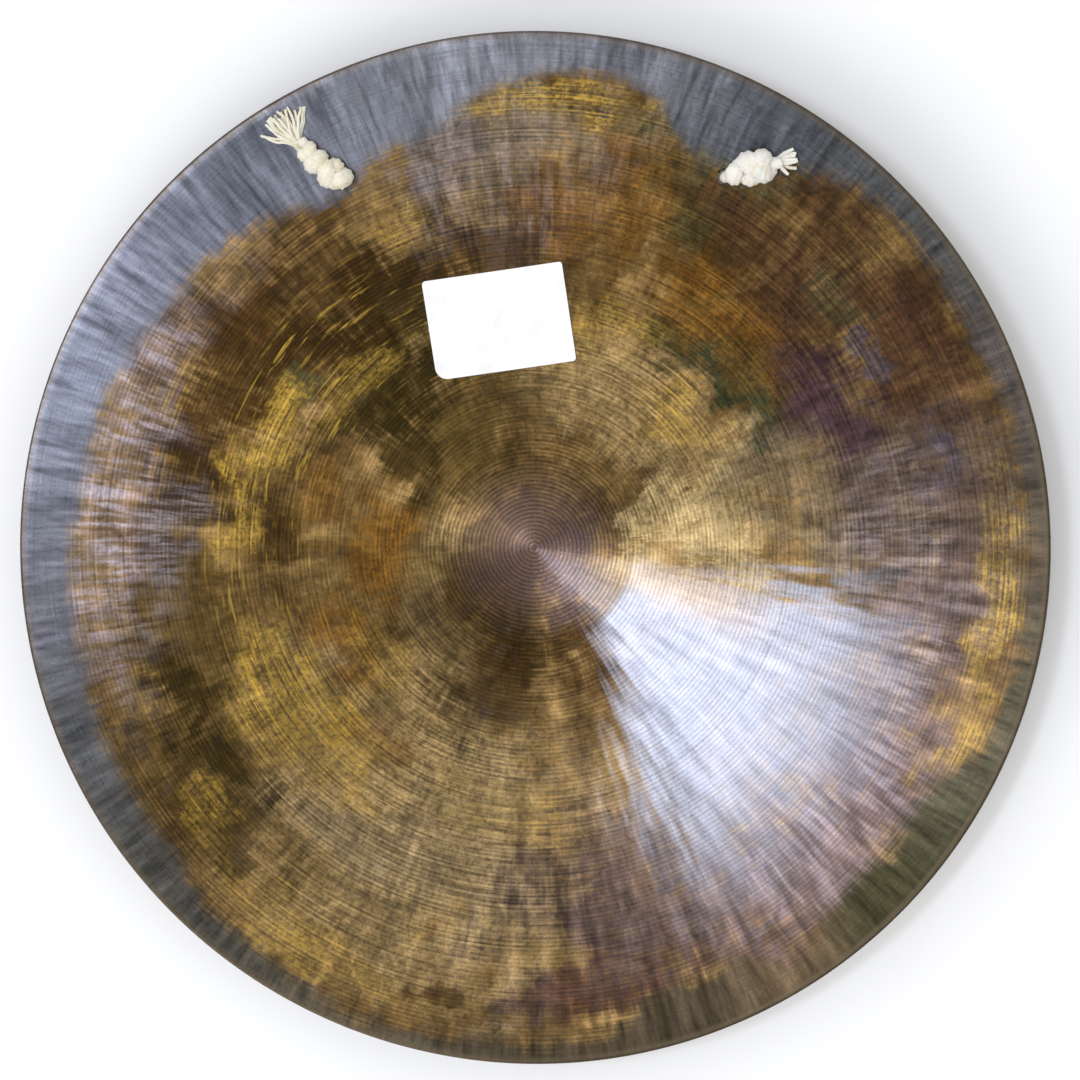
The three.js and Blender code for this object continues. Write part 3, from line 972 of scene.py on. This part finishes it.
def gong_plate():
    """The plate, drilled for the cord."""
    bronze = bronze_finish()
    plate = new_piece("gong_disc", [plate_part()], bronze)
    cutter = new_piece("drill", [drill(-HOLE_X, HOLE_Y), drill(HOLE_X, HOLE_Y)], bronze)
    cut = plate.modifiers.new("cord_holes", "BOOLEAN")
    cut.object, cut.operation, cut.solver = cutter, "DIFFERENCE", "EXACT"
    evaluated = plate.evaluated_get(bpy.context.evaluated_depsgraph_get())
    drilled = bpy.data.meshes.new_from_object(evaluated)
    plate.modifiers.clear()
    plate.data = drilled
    drilled.set_sharp_from_angle(angle=math.radians(CREASE_ANGLE))
    bpy.data.objects.remove(cutter)
    return plate


# ---- Table and light -----------------------------------------------------------------------------


TABLE_REACH = 4000.0  # from the middle to each edge


def lay_table():
    finish = Finish("table_white")
    mottle = finish.noise(finish.place, scale=3, detail=2)
    base = finish.ramp(mottle, [(0.3, colour("#f3f3f3")), (0.7, colour("#f7f7f6"))])
    finish.surface(Base_Color=base, Roughness=0.9)
    corners = TABLE_REACH * np.array([[-1, -1, 0], [1, -1, 0], [1, 1, 0], [-1, 1, 0]])
    table = new_piece("table", [(corners, [np.array([[0, 1, 2, 3]])])], finish.material)


def soft_light(name, place, size, turn, radiance, tint):
    """A rectangular light in metres that faces the gong, its long side turned that far from +X."""
    lamp = bpy.data.lights.new(name, "AREA")
    lamp.shape = "RECTANGLE"
    lamp.size, lamp.size_y = size
    lamp.energy = radiance * math.pi * size[0] * size[1]
    lamp.color = tint
    light = bpy.data.objects.new(name, lamp)
    bpy.context.scene.collection.objects.link(light)
    back = np.array(place) / np.linalg.norm(place)
    across = np.array([math.cos(math.radians(turn)), math.sin(math.radians(turn)), 0.0])
    across -= back * (across @ back)
    across /= np.linalg.norm(across)
    light.matrix_world = pose(across, np.cross(back, across), back, place)


def light_scene():
    """A pale room, two long lights that the dish mirrors as its fan and its pale rim, and a softbox."""
    world = bpy.data.worlds.new("studio")
    bpy.context.scene.world = world
    world.use_nodes = True
    background = world.node_tree.nodes["Background"]
    background.inputs["Color"].default_value = (1.0, 1.0, 1.0, 1.0)
    background.inputs["Strength"].default_value = 0.85
    soft_light("overhead_far", place=(-0.335, 0.10, 1.5), size=(0.27, 0.15), turn=52, radiance=34.0,
               tint=(0.86, 0.91, 1.10))
    soft_light("overhead_near", place=(0.005, -0.128, 1.5), size=(0.28, 0.13), turn=53, radiance=7.0,
               tint=(0.93, 0.96, 1.03))
    soft_light("front_softbox", place=(-0.9, -1.3, 1.6), size=(1.4, 1.2), turn=0, radiance=2.2,
               tint=(1.0, 0.98, 0.96))
    bpy.context.scene.view_settings.view_transform = "Standard"


# ---- Assembly ------------------------------------------------------------------------------------


def stand_for(piece, node):
    """Puts a piece in place of a CAD node. It stays with the gong."""
    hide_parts(node)
    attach(piece, "gong")


def assemble():
    place_camera()
    cream = cotton_finish("cotton_cream", "#f4edd8")
    white = cotton_finish("cotton_white", "#f6f2e8")
    cord, path = hanging_cord(cream)
    cord_ends = {
        "left_knot": left_knot(cream),
        "right_knot": right_knot(white),
        "left_tassel": frayed_end("left_frayed_end", cream, place=(-80.3, 141.2, 126, 2.3), yarns=30,
                                  reach=13.6, spread=38, thickness=0.62, seed=7),
        "right_tassel": frayed_end("right_frayed_end", white, place=(85.4, 134.3, 6, 2.2), yarns=7,
                                   reach=7.6, spread=36, thickness=0.85, seed=9),
    }
    for node, piece in cord_ends.items():
        stand_for(piece, node)
    stand_for(paper_label(), "paper_label")
    stand_for(gong_plate(), "gong_plate")
    lay_table()
    light_scene()


assemble()
